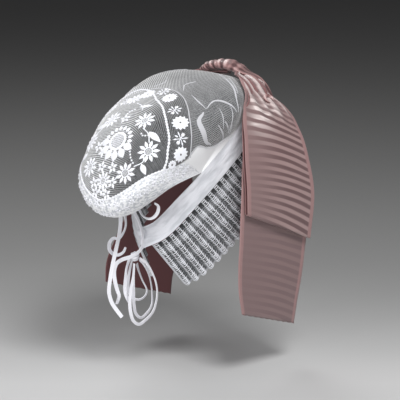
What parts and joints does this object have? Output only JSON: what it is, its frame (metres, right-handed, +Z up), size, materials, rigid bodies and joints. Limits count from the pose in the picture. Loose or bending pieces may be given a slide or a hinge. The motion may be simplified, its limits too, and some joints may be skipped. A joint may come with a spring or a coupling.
{
  "type": "cap",
  "caption": "White lace cap with a full embroidered net crown, a linen band, a pleated lace frill, cotton tapes tied at the nape and a wide satin ribbon bow on top.",
  "frame": {"origin": "inside of the cap's top, at the place where it rests on the top of the wearer's head", "axes": "+Z up, -Y toward the wearer's face, -X toward the wearer's right"},
  "size_m": [0.2386, 0.2715, 0.3081],
  "materials": {
    "net": "matte",
    "linen": "matte",
    "lace": "matte",
    "satin": "satin",
    "cotton": "matte"
  },
  "bodies": {
    "root": {"crown_back": "net", "crown_front": "net", "band": "linen", "frill": "lace", "ribbon_knot": "satin", "ribbon_loop_right": "satin", "ribbon_loop_left": "satin", "ribbon_tail_right": "satin", "ribbon_tail_left": "satin", "tie_knot": "cotton", "tie_long": "cotton", "tie_small": "cotton", "tie_cross": "cotton", "tie_end": "cotton", "bow_large": "cotton", "bow_second": "cotton", "bow_inner": "cotton", "drawstring_loop": "cotton"}
  },
  "joints": []
}
